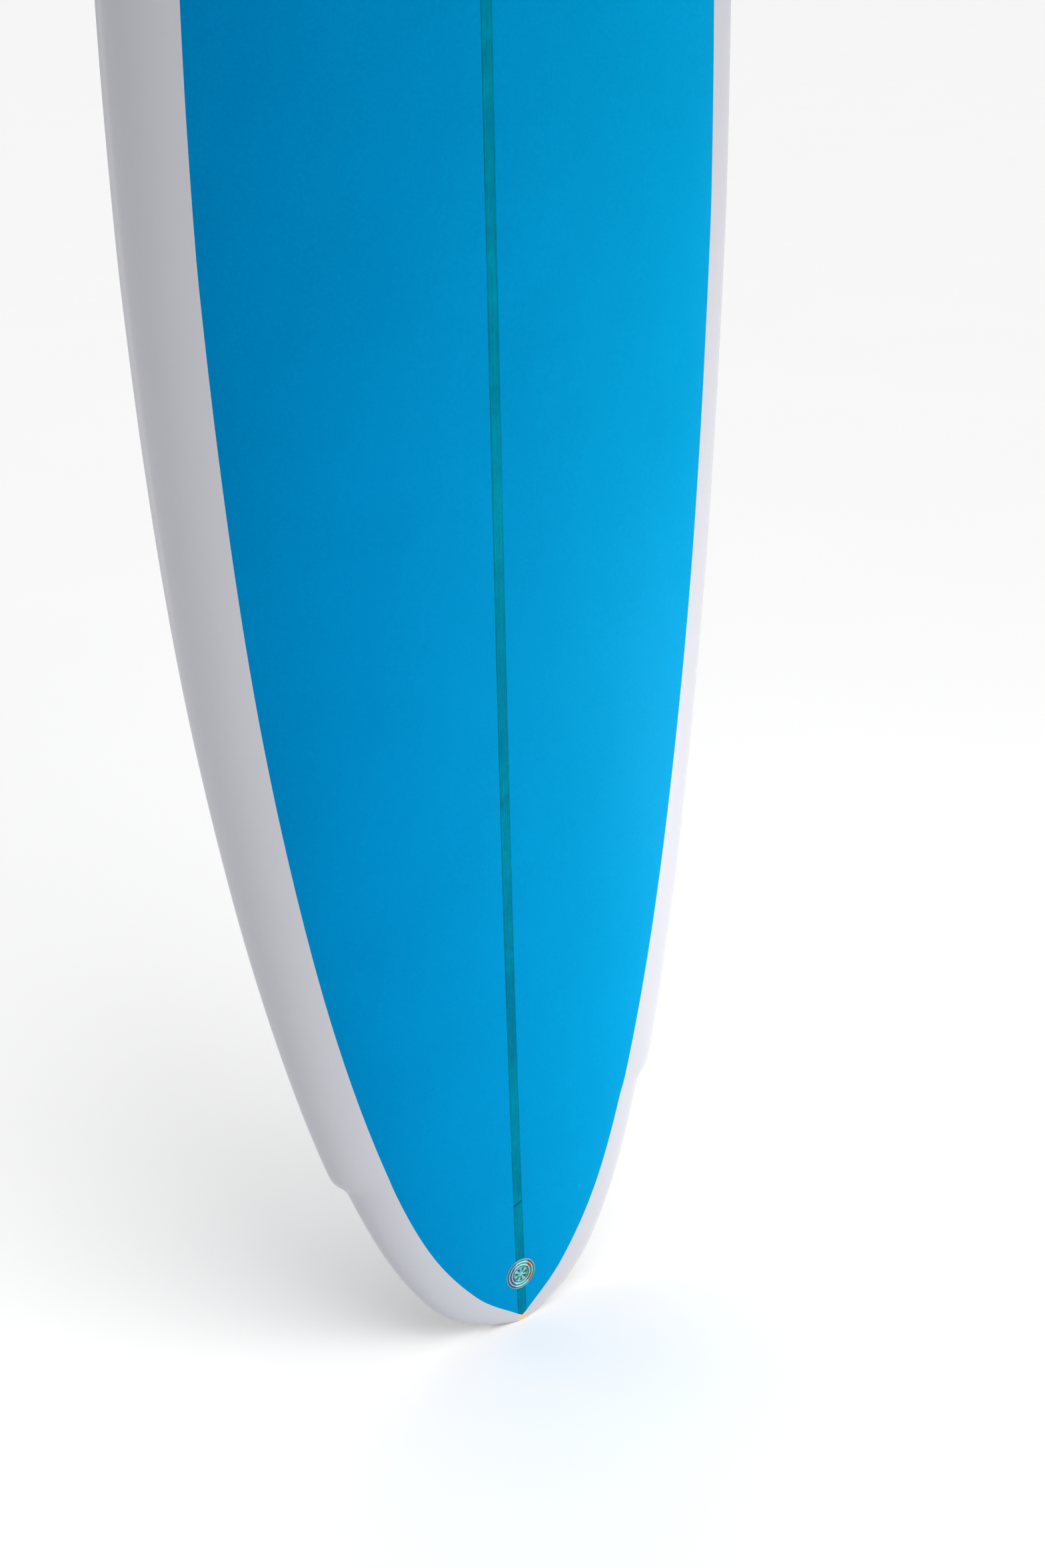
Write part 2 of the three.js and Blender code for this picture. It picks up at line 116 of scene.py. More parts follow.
def half_width(s):
    wing = WING_STEP * 0.5 * (1 + np.tanh((s - WING_STATION) / WING_SOFTNESS))
    return np.where(s > WIDE_POINT, nose_outline(LENGTH - s), tail_outline(s) + wing)


def panel_half_width(s):
    tail, nose = tail_panel(s - PANEL_TAIL_INSET), nose_panel(LENGTH - PANEL_NOSE_INSET - s)
    return np.where(s > WIDE_POINT, nose, tail)


def thickness(s):
    forward = np.clip((s - THICK_POINT) / (LENGTH - THICK_POINT), 0, 1)
    back = np.clip(1 - s / THICK_POINT, 0, 1)
    taper = (CENTRE_THICKNESS - NOSE_THICKNESS) * forward ** 2.6
    return CENTRE_THICKNESS - taper - (CENTRE_THICKNESS - TAIL_THICKNESS) * back ** 1.814


def rocker(s):
    forward = np.clip((s - FLAT_POINT) / (LENGTH - FLAT_POINT), 0, 1)
    back = np.clip((FLAT_POINT - s) / FLAT_POINT, 0, 1)
    return NOSE_ROCKER * forward ** 3.2 + TAIL_ROCKER * back ** 2


TAIL_END_MIDDLE = float(rocker(TAIL_TRIM) + thickness(TAIL_TRIM) / 2)


def bottom_y(s):
    return TAIL_END_MIDDLE - rocker(s)


def deck_y(s, x=0.0):
    """Height of the deck at a station, with its crown, as a Y coordinate."""
    depth = thickness(s)
    apex = RAIL_APEX * depth
    fall = np.clip(1 - (np.abs(x) / np.maximum(half_width(s), 1e-6)) ** DECK_ACROSS, 0, 1)
    return bottom_y(s) - apex - (depth - apex) * fall ** (1 / DECK_UP)


def slope_of(curve, s, step=0.2):
    return float(curve(s + step) - curve(s - step)) / (2 * step)


# ---- Mesh helpers --------------------------------------------------------------------------------
def link(obj):
    bpy.context.scene.collection.objects.link(obj)
    return obj


def surface(name, points, wrap=False, caps=False):
    """Smooth quad surface through a grid of points in millimetres, facing columns x rows."""
    rows, columns = points.shape[:2]
    shape = bmesh.new()
    grid = [[shape.verts.new(Vector(p) * MM) for p in row] for row in points]
    last = columns if wrap else columns - 1
    for r in range(rows - 1):
        for c in range(last):
            d = (c + 1) % columns
            shape.faces.new((grid[r][c], grid[r][d], grid[r + 1][d], grid[r + 1][c]))
    if caps:
        shape.faces.new(list(reversed(grid[0])))
        shape.faces.new(grid[-1])
    bmesh.ops.remove_doubles(shape, verts=shape.verts, dist=2e-6)
    bmesh.ops.dissolve_degenerate(shape, edges=shape.edges, dist=1e-7)
    if caps:
        bmesh.ops.recalc_face_normals(shape, faces=shape.faces)
    for face in shape.faces:
        face.smooth = True
    data = bpy.data.meshes.new(name)
    shape.to_mesh(data)
    shape.free()
    return link(bpy.data.objects.new(name, data))


def apply_modifiers(obj):
    """Bakes an object's modifiers into its mesh."""
    graph = bpy.context.evaluated_depsgraph_get()
    data = bpy.data.meshes.new_from_object(obj.evaluated_get(graph))
    obj.modifiers.clear()
    obj.data = data
    data.set_sharp_from_angle(angle=SHARP_ANGLE)


def finish_piece(obj, body, material, slot, *nodes):
    obj.data.materials.clear()
    obj.data.materials.append(material)
    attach(obj, body)
    if nodes:
        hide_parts(*nodes)


# ---- Camera --------------------------------------------------------------------------------------
CAMERA_PLACE = Vector((-0.7492, -1.1180, 1.1664))
CAMERA_TURN, CAMERA_TILT, CAMERA_ROLL = math.radians(34.296), math.radians(24.942), math.radians(0.928)
CAMERA_LENS = 42.65


def make_camera():
    forward = Vector((math.sin(CAMERA_TURN) * math.cos(CAMERA_TILT),
                      math.cos(CAMERA_TURN) * math.cos(CAMERA_TILT), -math.sin(CAMERA_TILT)))
    level = Vector((math.cos(CAMERA_TURN), -math.sin(CAMERA_TURN), 0))
    down = forward.cross(level)
    right = level * math.cos(CAMERA_ROLL) + down * math.sin(CAMERA_ROLL)
    up = level * math.sin(CAMERA_ROLL) - down * math.cos(CAMERA_ROLL)
    data = bpy.data.cameras.new("camera")
    data.sensor_fit = "VERTICAL"
    data.sensor_height = 36.0
    data.lens = CAMERA_LENS
    data.clip_end = 200.0
    camera = link(bpy.data.objects.new("camera", data))
    facing = Matrix((right, up, -forward)).transposed().to_4x4()
    camera.matrix_world = Matrix.Translation(CAMERA_PLACE) @ facing
    bpy.context.scene.camera = camera


# ---- Materials -----------------------------------------------------------------------------------
BOARD_CLOTH_PITCH, FIN_CLOTH_PITCH = 0.0016, 0.0022


class Paint:
    """Small wrapper for writing a procedural material as expressions."""

    def __init__(self, name):
        self.material = bpy.data.materials.new(name)
        self.material.use_nodes = True
        self.tree = self.material.node_tree
        self.shader = self.tree.nodes["Principled BSDF"]
        self.coords = self.tree.nodes.new("ShaderNodeTexCoord").outputs["Object"]
        split = self.tree.nodes.new("ShaderNodeSeparateXYZ")
        self.tree.links.new(self.coords, split.inputs[0])
        self.x, self.y, self.z = split.outputs

    def put(self, socket, value):
        if isinstance(value, bpy.types.NodeSocket):
            self.tree.links.new(value, socket)
        elif isinstance(value, (tuple, list)) and len(socket.default_value) == 4 and len(value) == 3:
            socket.default_value = (*value, 1.0)
        else:
            socket.default_value = value

    def set(self, **values):
        for name, value in values.items():
            self.put(self.shader.inputs[name.replace("_", " ")], value)

    def math(self, operation, a, b=0.0, c=0.0):
        node = self.tree.nodes.new("ShaderNodeMath")
        node.operation = operation
        for socket, value in zip(node.inputs, (a, b, c)):
            self.put(socket, value)
        return node.outputs[0]

    def step(self, value, low, high):
        """Smooth step of a value from 0 at low to 1 at high, which may be the smaller."""
        node = self.tree.nodes.new("ShaderNodeMapRange")
        node.interpolation_type = "SMOOTHSTEP"
        for socket, number in zip(node.inputs, (value, low, high, 0.0, 1.0)):
            self.put(socket, number)
        return node.outputs[0]

    def mix(self, factor, a, b, blend="MIX"):
        node = self.tree.nodes.new("ShaderNodeMix")
        node.data_type = "RGBA"
        node.blend_type = blend
        self.put(node.inputs[0], factor)
        self.put(node.inputs[6], a)
        self.put(node.inputs[7], b)
        return node.outputs[2]

    def grey(self, value):
        node = self.tree.nodes.new("ShaderNodeCombineColor")
        for socket in node.inputs:
            self.put(socket, value)
        return node.outputs[0]

    def stretched(self, x, y, z):
        node = self.tree.nodes.new("ShaderNodeMapping")
        node.inputs["Scale"].default_value = (x, y, z)
        self.tree.links.new(self.coords, node.inputs["Vector"])
        return node.outputs[0]

    def noise(self, scale, detail=3.0, roughness=0.5, vector=None):
        node = self.tree.nodes.new("ShaderNodeTexNoise")
        node.inputs["Scale"].default_value = scale
        node.inputs["Detail"].default_value = detail
        node.inputs["Roughness"].default_value = roughness
        self.tree.links.new(vector or self.coords, node.inputs["Vector"])
        return node.outputs[0]

    def vary(self, value, middle, swing):
        """A 0-1 texture turned into middle +- swing."""
        return self.math("MULTIPLY_ADD", value, 2 * swing, middle - swing)

    def bump(self, height, strength, distance):
        node = self.tree.nodes.new("ShaderNodeBump")
        node.inputs["Strength"].default_value = strength
        node.inputs["Distance"].default_value = distance
        self.tree.links.new(height, node.inputs["Height"])
        self.tree.links.new(node.outputs[0], self.shader.inputs["Normal"])

    def weave(self, pitch):
        """Plain cloth weave of the glass under the resin, 0 to 1."""
        turn = 2 * math.pi / pitch
        across = self.math("SINE", self.math("MULTIPLY", self.x, turn))
        along = self.math("SINE", self.math("MULTIPLY", self.z, turn))
        return self.math("MULTIPLY_ADD", self.math("MULTIPLY", across, along), 0.5, 0.5)


def tinted_laminate():
    """Blue resin over white foam, with the stringer showing through as a teal band; the blue carries painted
    light, lighter and greener towards +X where the light falls and darker towards the top.
    """
    paint = Paint("tinted_laminate")
    cloth = paint.weave(BOARD_CLOTH_PITCH)
    cloud = paint.noise(9.0, 4.0, 0.6)
    fleck = paint.noise(420.0, 2.0, 0.7)
    shade = paint.math("ADD", paint.vary(cloud, 1.0, 0.07), paint.vary(cloth, 0.0, 0.03))
    shade = paint.math("ADD", shade, paint.vary(fleck, 0.0, 0.10))
    # Painted light: the blue is made lighter towards +X, the side the light falls on, and darker towards the
    # top of the standing board.
    texture_and_painted_light = paint.math("MULTIPLY_ADD", paint.x, 0.5, shade)
    texture_and_painted_light = paint.math("MULTIPLY_ADD", paint.step(paint.z, 0.5, 1.3), -0.12, texture_and_painted_light)
    # Painted light: the blue turns greener towards +X, the lit side.
    blue_tint_and_side_light = paint.mix(paint.step(paint.x, -0.22, 0.22), (0.0, 0.224, 0.51), (0.0, 0.268, 0.515))
    blue = paint.mix(1.0, blue_tint_and_side_light, paint.grey(texture_and_painted_light), "MULTIPLY")

    band, wood = stringer_band(paint, cloth)
    paint.set(Base_Color=paint.mix(band, blue, wood), Roughness=paint.vary(cloud, 0.42, 0.03),
              Specular_IOR_Level=0.01, Specular_Tint=(0.0, 0.45, 1.0, 1.0))
    paint.bump(paint.math("ADD", cloth, fleck), 0.05, 0.00008)
    return paint.material


KNOTS = ((0.1282, 0.0018, 0.35, 0.55), (0.389, 0.006, -0.6, 0.12), (0.524, 0.008, 0.9, 0.14),
         (0.545, 0.007, 1.1, 0.10), (1.085, 0.012, 0.7, 0.15), (1.42, 0.008, -0.8, 0.15))


def stringer_band(paint, cloth):
    """Mask and colour of the wood seen through the tint, with glue lines, grain and small knots."""
    across = paint.math("ABSOLUTE", paint.x)
    waver = paint.vary(paint.noise(14.0, 3.0, 0.6, paint.stretched(0.0, 0.0, 1.0)), 0.0, 0.0005)
    band = paint.step(paint.math("ADD", across, waver), 0.0051, 0.0043)
    glue = paint.math("MULTIPLY", paint.step(across, 0.0054, 0.0047), paint.step(across, 0.0034, 0.0043))
    left = paint.math("MULTIPLY", glue, paint.step(paint.x, 0.001, -0.001))
    lines = paint.noise(70.0, 5.0, 0.7, paint.stretched(16.0, 16.0, 0.25))
    flecks = paint.noise(420.0, 3.0, 0.65, paint.stretched(1.0, 1.0, 0.45))
    tone = paint.noise(4.5, 4.0, 0.65, paint.stretched(0.2, 0.2, 1.0))
    wood = paint.mix(paint.step(tone, 0.38, 0.62), (0.0, 0.152, 0.255), (0.0, 0.222, 0.315))
    shade = paint.math("ADD", paint.vary(lines, 1.0, 0.42), paint.vary(flecks, 0.0, 0.22))
    shade = paint.math("ADD", shade, paint.vary(cloth, 0.0, 0.05))
    shade = paint.math("SUBTRACT", shade, paint.math("MULTIPLY", glue, 0.16))
    shade = paint.math("SUBTRACT", shade, paint.math("MULTIPLY", left, 0.16))
    for height, reach, slant, strength in KNOTS:
        line = paint.math("MULTIPLY_ADD", paint.x, -slant, paint.math("SUBTRACT", paint.z, height))
        mark = paint.step(paint.math("ABSOLUTE", line), reach, 0.0)
        shade = paint.math("SUBTRACT", shade, paint.math("MULTIPLY", mark, strength))
    return band, paint.mix(1.0, wood, paint.grey(paint.math("MAXIMUM", shade, 0.3)), "MULTIPLY")


def white_laminate():
    """Off-white polished resin over foam, with the wood end showing at the tail tip; the white is painted
    darker towards the top as shade.
    """
    paint = Paint("white_laminate")
    cloud = paint.noise(7.0, 4.0, 0.55)
    cloth = paint.weave(BOARD_CLOTH_PITCH)
    fleck = paint.noise(300.0, 2.0, 0.7)
    shade = paint.math("ADD", paint.vary(cloud, 1.0, 0.012), paint.vary(fleck, 0.0, 0.012))
    # Painted shade: the white is made darker towards the top of the standing board.
    shade = paint.math("MULTIPLY_ADD", paint.step(paint.z, 0.6, 1.3), -0.10, shade)
    white = paint.mix(1.0, (0.510, 0.512, 0.550), paint.grey(shade), "MULTIPLY")
    edge = paint.noise(260.0, 3.0, 0.6)
    reach = paint.math("ADD", paint.math("ABSOLUTE", paint.x), paint.vary(edge, 0.0, 0.0022))
    spot = paint.math("MULTIPLY", paint.step(reach, 0.0056, 0.0030), paint.step(paint.z, 0.0085, 0.0050))
    paint.set(Base_Color=paint.mix(paint.math("MULTIPLY", spot, 0.85), white, (0.80, 0.48, 0.24)),
              Roughness=paint.vary(cloud, 0.33, 0.03), Specular_IOR_Level=0.25)
    paint.bump(paint.math("ADD", cloth, fleck), 0.03, 0.00006)
    return paint.material


def wood():
    paint = Paint("stringer_wood")
    grain = paint.noise(50.0, 6.0, 0.65, paint.stretched(12.0, 12.0, 0.3))
    rings = paint.noise(18.0, 2.0, 0.5, paint.stretched(6.0, 20.0, 0.2))
    colour = paint.mix(grain, (0.40, 0.22, 0.10), (0.66, 0.43, 0.22))
    colour = paint.mix(paint.vary(rings, 0.25, 0.25), colour, (0.30, 0.15, 0.06))
    paint.set(Base_Color=colour, Roughness=paint.vary(grain, 0.6, 0.1))
    paint.bump(grain, 0.3, 0.0003)
    return paint.material


def foam():
    paint = Paint("core_foam")
    cells = paint.noise(900.0, 2.0, 0.8)
    paint.set(Base_Color=paint.mix(cells, (0.80, 0.78, 0.70), (0.90, 0.89, 0.83)), Roughness=0.95)
    paint.bump(cells, 0.4, 0.0003)
    return paint.material


def moulded(name, colour, roughness):
    paint = Paint(name)
    grain = paint.noise(700.0, 3.0, 0.6)
    shade = paint.mix(1.0, colour, paint.grey(paint.vary(grain, 1.0, 0.06)), "MULTIPLY")
    paint.set(Base_Color=shade, Roughness=paint.vary(grain, roughness, 0.05))
    paint.bump(grain, 0.15, 0.0001)
    return paint.material


def metal(name, colour, roughness):
    paint = Paint(name)
    scratch = paint.noise(600.0, 4.0, 0.6, paint.stretched(1.0, 0.08, 1.0))
    shade = paint.mix(1.0, colour, paint.grey(paint.vary(scratch, 1.0, 0.12)), "MULTIPLY")
    paint.set(Base_Color=shade, Metallic=1.0, Roughness=paint.vary(scratch, roughness, 0.08))
    paint.bump(scratch, 0.1, 0.00005)
    return paint.material


def fin_glass():
    """Glass-fibre fin laminated in the deck's blue, with the cloth showing."""
    paint = Paint("fin_glass")
    turn = 2 * math.pi / FIN_CLOTH_PITCH
    up = paint.math("SINE", paint.math("MULTIPLY", paint.math("ADD", paint.y, paint.z), turn))
    down = paint.math("SINE", paint.math("MULTIPLY", paint.math("SUBTRACT", paint.y, paint.z), turn))
    cloth = paint.math("MULTIPLY_ADD", paint.math("MULTIPLY", up, down), 0.5, 0.5)
    cloud = paint.noise(30.0, 4.0, 0.6)
    shade = paint.math("ADD", paint.vary(cloud, 1.0, 0.18), paint.vary(cloth, 0.0, 0.16))
    colour = paint.mix(1.0, (0.0, 0.17, 0.42), paint.grey(shade), "MULTIPLY")
    paint.set(Base_Color=colour, Roughness=paint.vary(cloud, 0.2, 0.05), Coat_Weight=0.4, Coat_Roughness=0.08)
    paint.bump(cloth, 0.06, 0.0001)
    return paint.material


def foil():
    """Rainbow foil disc with rings, flecks and a plain pattern in place of any mark; its dark slate left part
    is partly the foil's colour and partly painted shade.
    """
    paint = Paint("rainbow_foil")
    low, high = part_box("foil_sticker")
    middle = (low[2] + high[2]) / 2
    across = paint.math("DIVIDE", paint.x, STICKER_RADIUS * MM)
    along = paint.math("DIVIDE", paint.math("SUBTRACT", paint.z, middle), STICKER_RADIUS * MM)
    radius = paint.math("SQRT", paint.math("ADD", paint.math("MULTIPLY", across, across),
                                           paint.math("MULTIPLY", along, along)))
    drift = paint.noise(110.0, 3.0, 0.6)
    side = paint.math("ADD", across, paint.vary(drift, 0.0, 0.45))
    speckle = paint.noise(620.0, 3.0, 0.7)
    # Partly painted shade: the disc's left part, away from the light beside its raised edge, is dark slate.
    slate_and_painted_shade = paint.mix(paint.step(speckle, 0.42, 0.60), (0.015, 0.080, 0.200), (0.100, 0.150, 0.300))
    mint = paint.mix(paint.step(speckle, 0.40, 0.62), (0.260, 0.620, 0.600), (0.060, 0.400, 0.420))
    rust = paint.mix(paint.step(drift, 0.52, 0.60), (0.300, 0.040, 0.030), (0.010, 0.300, 0.190))
    colour = paint.mix(paint.step(side, -0.42, -0.30), slate_and_painted_shade, mint)
    colour = paint.mix(paint.step(side, 0.34, 0.46), colour, rust)
    ring = paint.math("SINE", paint.math("MULTIPLY", radius, 33.0))
    outside = paint.step(radius, 0.40, 0.46)
    dark = paint.math("MULTIPLY", paint.step(ring, -0.2, -0.8), outside)
    light = paint.math("MULTIPLY", paint.step(ring, 0.4, 0.9), outside)
    colour = paint.mix(paint.math("MULTIPLY", dark, 0.80), colour, (0.010, 0.075, 0.085))
    colour = paint.mix(paint.math("MULTIPLY", light, 0.60), colour, (0.550, 0.780, 0.760))
    petals = paint.math("SINE", paint.math("MULTIPLY", paint.math("ARCTAN2", along, across), 7.0))
    core = paint.math("MULTIPLY", paint.step(petals, -0.3, 0.2), paint.step(radius, 0.48, 0.42))
    core = paint.math("MULTIPLY", core, paint.step(radius, 0.12, 0.18))
    colour = paint.mix(paint.math("MULTIPLY", core, 0.85), colour, (0.015, 0.050, 0.055))
    colour = paint.mix(paint.step(radius, 0.93, 0.97), colour, (0.200, 0.360, 0.400))
    paint.set(Base_Color=colour, Metallic=0.15, Roughness=paint.vary(speckle, 0.4, 0.1),
              Specular_IOR_Level=0.15)
    paint.bump(speckle, 0.1, 0.00005)
    return paint.material


# ---- The board -----------------------------------------------------------------------------------
def spaced(low, high, count, crowd):
    """Stations from low to high, closer together towards both ends."""
    t = np.linspace(0, 1, count)
    eased = np.where(t < 0.5, 0.5 * (2 * t) ** crowd, 1 - 0.5 * (2 - 2 * t) ** crowd)
    return low + (high - low) * eased


FIRST, LAST = PANEL_TAIL_INSET, LENGTH - PANEL_NOSE_INSET
WING_STATIONS = np.linspace(WING_STATION - 22, WING_STATION + 22, 23)
PANEL_STATIONS = np.unique(np.concatenate([spaced(FIRST, LAST, 240, 2.2), WING_STATIONS]))
BOARD_STATIONS = np.concatenate([np.linspace(TAIL_TRIM + 0.3, FIRST, 9)[:-1], PANEL_STATIONS,
                                 LENGTH - np.linspace(math.sqrt(PANEL_NOSE_INSET), 0, 14)[1:] ** 2])


def board_point(x, y, s):
    return np.stack(np.broadcast_arrays(x, y, s - TAIL_TRIM), -1)


def deck_panel():
    s = PANEL_STATIONS[:, None]
    x = np.sin(np.linspace(-math.pi / 2, math.pi / 2, 81))[None, :] * panel_half_width(s)
    return surface("deck_panel", board_point(x, deck_y(s, x), s))


def rail_section(s, deck_steps=26, bottom_steps=28):
    """Half section from the panel's edge over the rail to the middle of the bottom."""
    width, depth = half_width(s), thickness(s)
    apex = RAIL_APEX * depth
    inside = (s >= FIRST) & (s <= LAST)
    edge = np.where(inside, panel_half_width(s), 0.0) / np.maximum(width, 1e-6)
    start = np.arcsin(np.clip(edge, 0, 1) ** (DECK_ACROSS / 2))
    t = np.linspace(0, 1, deck_steps)[None, :]
    angle = start + (math.pi / 2 - start) * t
    x = width * np.sin(angle) ** (2 / DECK_ACROSS)
    y = bottom_y(s) - apex - (depth - apex) * np.clip(np.cos(angle), 0, 1) ** (2 / DECK_UP)
    under = (math.pi / 2) * np.linspace(0, 1, bottom_steps)[None, 1:]
    under_x = width * np.clip(np.cos(under), 0, 1) ** (2 / BOTTOM_CURVE)
    under_y = bottom_y(s) - apex + apex * np.sin(under) ** (2 / BOTTOM_CURVE)
    return np.concatenate([x, under_x], 1), np.concatenate([y, under_y], 1)


def rail_and_bottom():
    s = BOARD_STATIONS[:, None]
    x, y = rail_section(s)
    x = np.concatenate([-x, x[:, -2::-1]], 1)
    y = np.concatenate([y, y[:, -2::-1]], 1)
    return surface("rail_and_bottom", board_point(x, y, s)[:, ::-1])


def thicken(obj):
    solid = obj.modifiers.new("laminate", "SOLIDIFY")
    solid.thickness = LAMINATE * MM
    solid.offset = -1.0
    apply_modifiers(obj)


def bottom_frame(station, across, toe, sunk):
    """Matrix of the frame on the bottom at a place, with Y outwards and Z towards the nose."""
    tilt = Matrix.Rotation(-math.atan(slope_of(bottom_y, station)), 4, "X")
    turn = Matrix.Rotation(-math.copysign(math.radians(toe), across), 4, "Y")
    place = Vector((across, float(bottom_y(station)) - sunk, station - TAIL_TRIM)) * MM
    return Matrix.Translation(place) @ tilt @ turn


def prism(name, outline, low, high, matrix):
    """Straight prism of an (x, z) outline in millimetres between two heights."""
    rings = [[(x, height, z) for x, z in outline] for height in (low, high)]
    obj = surface(name, np.array(rings), wrap=True, caps=True)
    obj.data.transform(matrix)
    return obj


def round_outline(radius, straight=0.0, steps=48):
    """Circle, or a stadium when straight is the length of its straight sides."""
    outline = []
    for i in range(steps):
        angle = 2 * math.pi * i / steps
        z = math.sin(angle)
        outline.append((radius * math.cos(angle), radius * z + math.copysign(straight / 2, z)))
    return outline


def cut_pockets(obj):
    """Cuts the openings for the fin box and the four plugs through the bottom laminate."""
    straight = CENTRE_BOX_LENGTH - CENTRE_BOX_WIDTH
    cutters = [prism("cut", round_outline(CENTRE_BOX_WIDTH / 2 + 0.15, straight), -9, 9,
                     bottom_frame(CENTRE_BOX_STATION, 0.0, 0.0, CENTRE_BOX_SUNK))]
    for across in (-SIDE_ACROSS, SIDE_ACROSS):
        place = bottom_frame(SIDE_STATION, across, SIDE_TOE, 0.0)
        for along in (-PLUG_SPACING / 2, PLUG_SPACING / 2):
            shift = Matrix.Translation((0, 0, along * MM))
            cutters.append(prism("cut", round_outline(PLUG_RADIUS + 0.15), -8, 8, place @ shift))
    for cutter in cutters:
        cut = obj.modifiers.new("pocket", "BOOLEAN")
        cut.operation = "DIFFERENCE"
        cut.solver = "EXACT"
        cut.object = cutter
    apply_modifiers(obj)
    for cutter in cutters:
        bpy.data.objects.remove(cutter)


def sticker():
    """Thin domed disc that follows the deck."""
    turns = np.linspace(0, 2 * math.pi, 96, endpoint=False)[None, :]
    radii = np.array([0.02, 0.2, 0.4, 0.6, 0.8, 0.92, 0.975, 1.0, 1.0])[:, None]
    lift = np.array([0.50, 0.50, 0.49, 0.48, 0.46, 0.44, 0.38, 0.28, -0.05])[:, None]
    x = STICKER_RADIUS * radii * np.cos(turns)
    s = STICKER_STATION + STICKER_RADIUS * radii * np.sin(turns)
    return surface("sticker", board_point(x, deck_y(s, x) - lift, s), wrap=True, caps=True)


# ---- Fins ----------------------------------------------------------------------------------------
CENTRE_FIN = {"base": 130.0, "height": 178.0, "thick": 8.4, "sweep": 95.0, "rear": -75.0, "seat": 0.0}
SIDE_FIN = {"base": 105.0, "height": 90.0, "thick": 6.2, "sweep": 46.0, "rear": -58.0, "seat": 0.5}
CENTRE_FIN_OFFSET, SIDE_CANT = -10.0, math.tan(math.radians(5.0))


def fin_blade(name, fin, side, cant, matrix, levels=46, around=72):
    """Swept fin with a foiled section; side 0 has foil on both faces, 1 or -1 on that face only."""
    level = np.sin(np.linspace(0, math.pi / 2, levels))[:, None] * 0.9995
    half = fin["base"] / 2 * (1 - 0.42 * level) * np.sqrt(1 - level ** 3)
    middle = fin["rear"] + fin["base"] / 2 - fin["sweep"] * level ** 1.5
    y = fin["seat"] + level * (fin["height"] - fin["seat"])
    angle = np.linspace(0, 2 * math.pi, around, endpoint=False)[None, :]
    foil_x = fin["thick"] / 2 * (1 - 0.72 * level) * np.sin(angle) * (0.82 + 0.3 * np.cos(angle))
    if side:
        foil_x = np.where(np.sign(foil_x) == -side, foil_x * 0.15, foil_x)
    x = foil_x + side * cant * y
    z = middle + half * np.cos(angle)
    obj = surface(name, np.stack(np.broadcast_arrays(x, y, z), -1), wrap=True, caps=True)
    obj.data.transform(matrix)
    return obj


def rounded_block(name, low, high, bevel, matrix):
    """Block between two corners in millimetres with rounded edges."""
    outline = [(low[0], low[2]), (high[0], low[2]), (high[0], high[2]), (low[0], high[2])]
    obj = prism(name, outline, low[1], high[1], Matrix.Identity(4))
    edge = obj.modifiers.new("edge", "BEVEL")
    edge.width = bevel * MM
    edge.segments = 3
    apply_modifiers(obj)
    obj.data.transform(matrix)
    return obj


def make_fins(glass):
    place = bottom_frame(CENTRE_BOX_STATION, 0.0, 0.0, CENTRE_BOX_SUNK)
    place = place @ Matrix.Translation((0, 0, CENTRE_FIN_OFFSET * MM))
    blade = fin_blade("centre_fin_blade", CENTRE_FIN, 0, 0.0, place)
    tab = rounded_block("centre_fin_tab", (-4.3, -13.2, -75), (4.3, 0.3, 54), 0.5, place)
    tongue = rounded_block("centre_fin_tongue", (-4.3, -13.2, 54), (4.3, -6.6, 75), 0.5, place)
    for piece in (blade, tab, tongue):
        finish_piece(piece, "centre_fin_set", glass, "fin_glass", "centre_fin")
    for name, side in (("left", -1), ("right", 1)):
        place = bottom_frame(SIDE_STATION, side * SIDE_ACROSS, SIDE_TOE, 0.0)
        blade = fin_blade(f"{name}_fin_blade", SIDE_FIN, side, SIDE_CANT, place)
        finish_piece(blade, f"{name}_fin", glass, "fin_glass", f"{name}_side_fin")
        for part, along in (("rear", -PLUG_SPACING / 2), ("front", PLUG_SPACING / 2)):
            inner, outer = sorted((-0.4 * side, 3.0 * side))
            tab = rounded_block(f"{name}_{part}_fin_tab", (inner, -11.4, along - 10.6),
                                (outer, 0.9, along + 10.6), 0.4, place)
            finish_piece(tab, f"{name}_fin", glass, "fin_glass", f"{name}_side_fin")


# ---- Stage ---------------------------------------------------------------------------------------
SUN_SPREAD = math.radians(42)
FLOOR_REACH = 60000.0


def aim(light, towards):
    """Turns a light to shine along a direction."""
    light.rotation_euler = Vector(towards).to_track_quat("-Z", "Y").to_euler()


def soft_sun(name, azimuth, elevation, strength):
    """Wide soft light from far off; azimuth runs from the deck side towards the board's right."""
    data = bpy.data.lights.new(name, "SUN")
    data.energy = strength
    data.angle = SUN_SPREAD
    light = link(bpy.data.objects.new(name, data))
    turn, lift = math.radians(azimuth), math.radians(elevation)
    aim(light, (-math.sin(turn) * math.cos(lift), math.cos(turn) * math.cos(lift), -math.sin(lift)))


def soft_box(name, place, target, size, power):
    """Rectangular studio light near the board."""
    data = bpy.data.lights.new(name, "AREA")
    data.shape = "RECTANGLE"
    data.size, data.size_y = size
    data.energy = power
    light = link(bpy.data.objects.new(name, data))
    light.location = place
    light.visible_camera = False
    aim(light, Vector(target) - Vector(place))


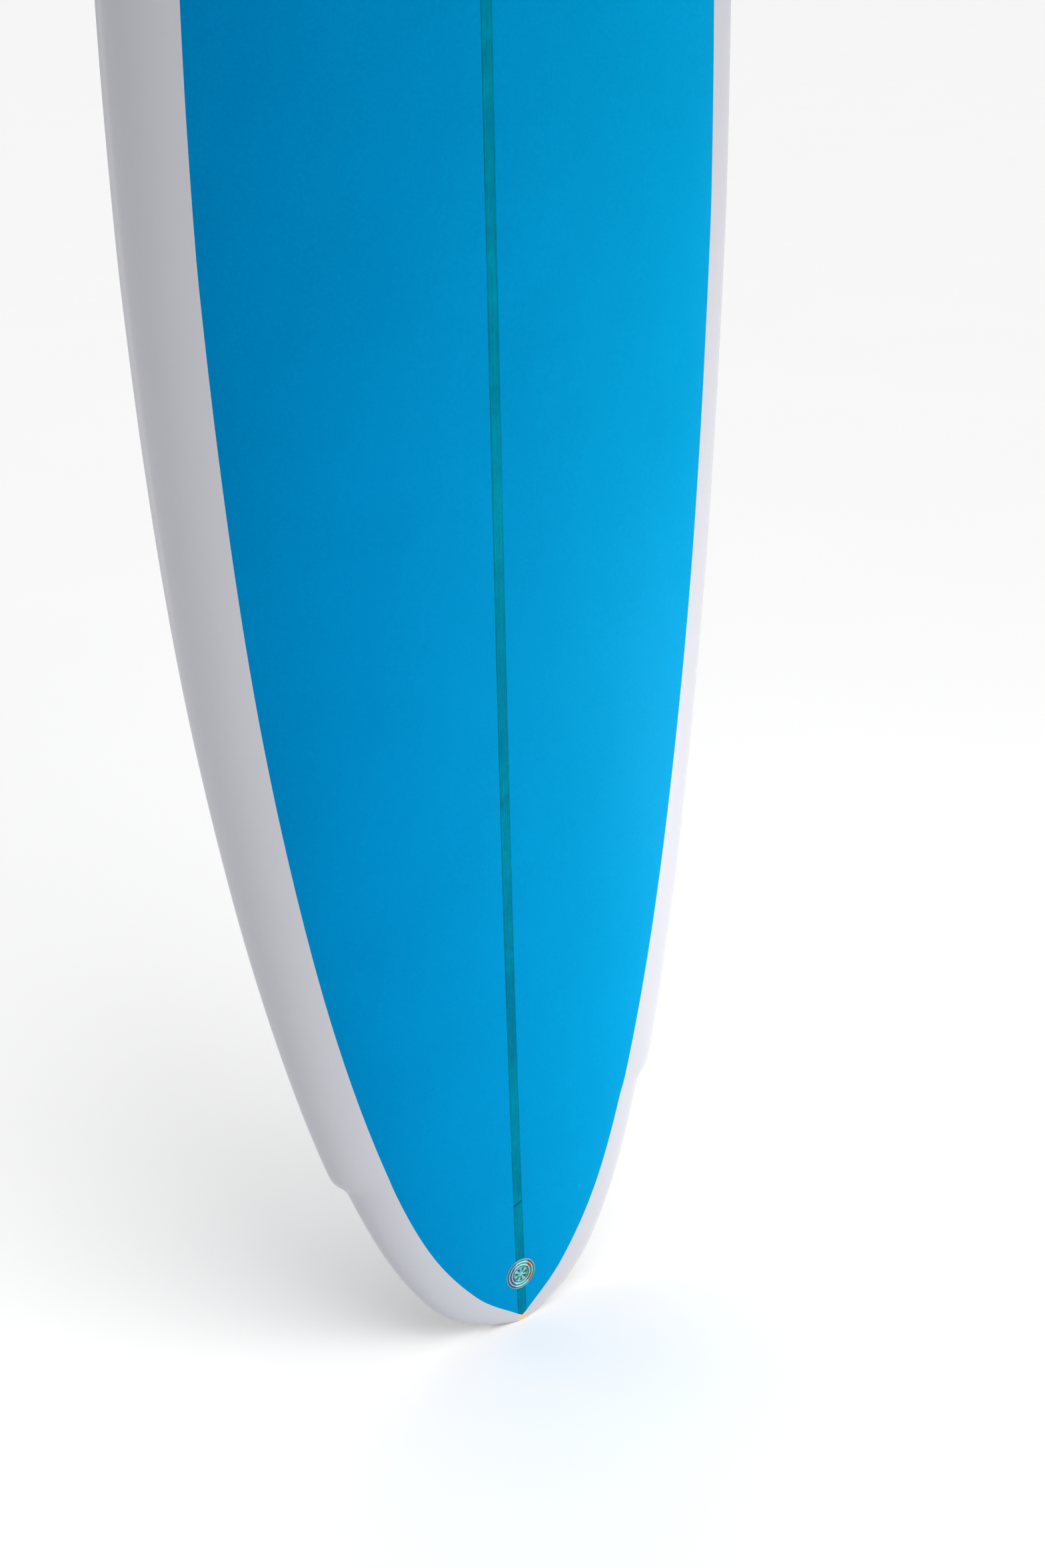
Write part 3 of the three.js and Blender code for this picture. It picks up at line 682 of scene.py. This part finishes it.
def make_lights():
    soft_sun("front_top_sun", 14, 75, 0.80)
    soft_sun("front_sun", 15, 50, 0.70)
    soft_sun("back_top_sun", 180, 75, 0.52)
    soft_box("right_box", (1.3, -1.3, 0.5), (0, 0, 0.4), (0.6, 0.6), 7.8)
    soft_box("low_right_box", (1.0, -0.6, 0.15), (0, 0, 0.2), (0.5, 0.3), 5.0)
    soft_box("back_left_box", (-0.9, 0.7, 1.0), (-0.2, 0.05, 1.0), (0.3, 1.4), 2.4)


def make_stage():
    low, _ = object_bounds()
    height = low[2] / MM
    corners = [[(across, along, height) for across in (-FLOOR_REACH, FLOOR_REACH)]
               for along in (-FLOOR_REACH, FLOOR_REACH)]
    floor = surface("floor", np.array(corners))
    paint = Paint("floor_paint")
    cloud = paint.noise(2.0, 3.0, 0.5)
    paint.set(Base_Color=paint.mix(cloud, (0.955, 0.955, 0.955), (0.975, 0.975, 0.975)), Roughness=0.7,
              Specular_IOR_Level=0.2)
    floor.data.materials.append(paint.material)
    world = bpy.data.worlds.new("studio")
    world.use_nodes = True
    world.node_tree.nodes["Background"].inputs["Color"].default_value = (1.0, 1.0, 1.0, 1.0)
    world.node_tree.nodes["Background"].inputs["Strength"].default_value = 0.42
    bpy.context.scene.world = world
    bpy.context.scene.view_settings.view_transform = "Standard"
    make_lights()


def main():
    make_camera()
    blue, white, glass = tinted_laminate(), white_laminate(), fin_glass()
    panel = deck_panel()
    thicken(panel)
    finish_piece(panel, "board", blue, "tinted_laminate", "deck_panel_laminate")
    rails = rail_and_bottom()
    thicken(rails)
    cut_pockets(rails)
    finish_piece(rails, "board", white, "white_laminate", "rail_and_bottom_laminate")
    finish_piece(sticker(), "board", foil(), "foil", "foil_sticker")
    make_fins(glass)
    shared = {"wood": wood(), "foam": foam(),
              "fin_box_plastic": moulded("box_plastic", (0.018, 0.019, 0.022), 0.45),
              "plug_plastic": moulded("plug_plastic", (0.80, 0.80, 0.79), 0.35),
              "brass": metal("turned_brass", (0.62, 0.40, 0.14), 0.28),
              "steel": metal("satin_steel", (0.55, 0.56, 0.58), 0.3)}
    for part in frame["record"]["subparts"]:
        material = shared.get(part["material_slot"])
        if material:
            data = frame["nodes"][part["node"]].data
            data.materials.clear()
            data.materials.append(material)
    make_stage()


main()
